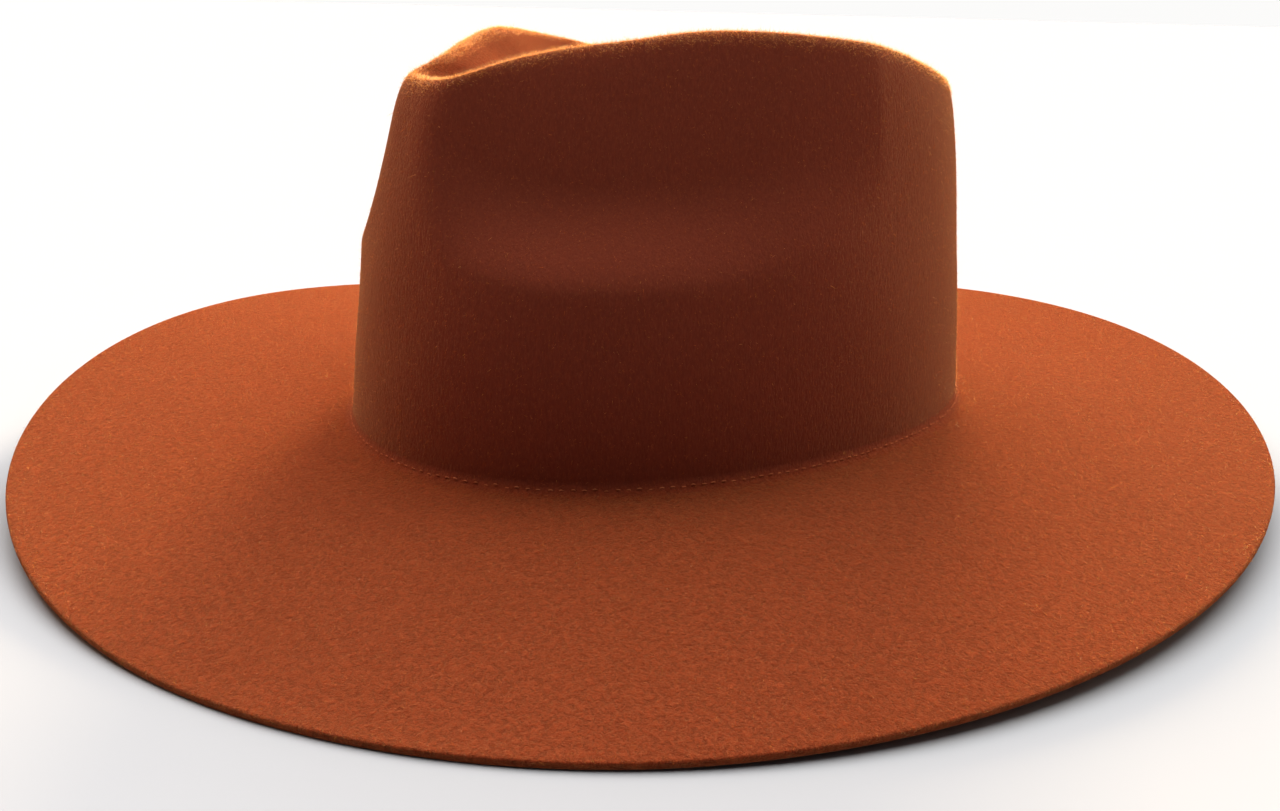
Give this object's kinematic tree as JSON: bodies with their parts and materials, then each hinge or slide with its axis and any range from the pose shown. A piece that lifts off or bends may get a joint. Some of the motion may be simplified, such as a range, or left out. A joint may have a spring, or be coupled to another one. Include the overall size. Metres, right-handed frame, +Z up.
{
  "type": "brimmed hat",
  "caption": "Wide-brim felt hat with a teardrop-creased, front-pinched crown and a gently waved raw-edge brim, open underneath for a head.",
  "frame": {"origin": "middle of the brim's outline, in the plane the brim rests on", "axes": "+Z up out of the crown, -Y to the front of the hat (the low pinched end of the crease), +X to the wearer's left"},
  "size_m": [0.3466, 0.3796, 0.1188],
  "materials": {
    "felt": "rust wool felt, matt with a short nap",
    "band": "woven band, matt"
  },
  "bodies": {
    "root": {"felt_body": "felt", "sweatband": "band"}
  },
  "joints": []
}
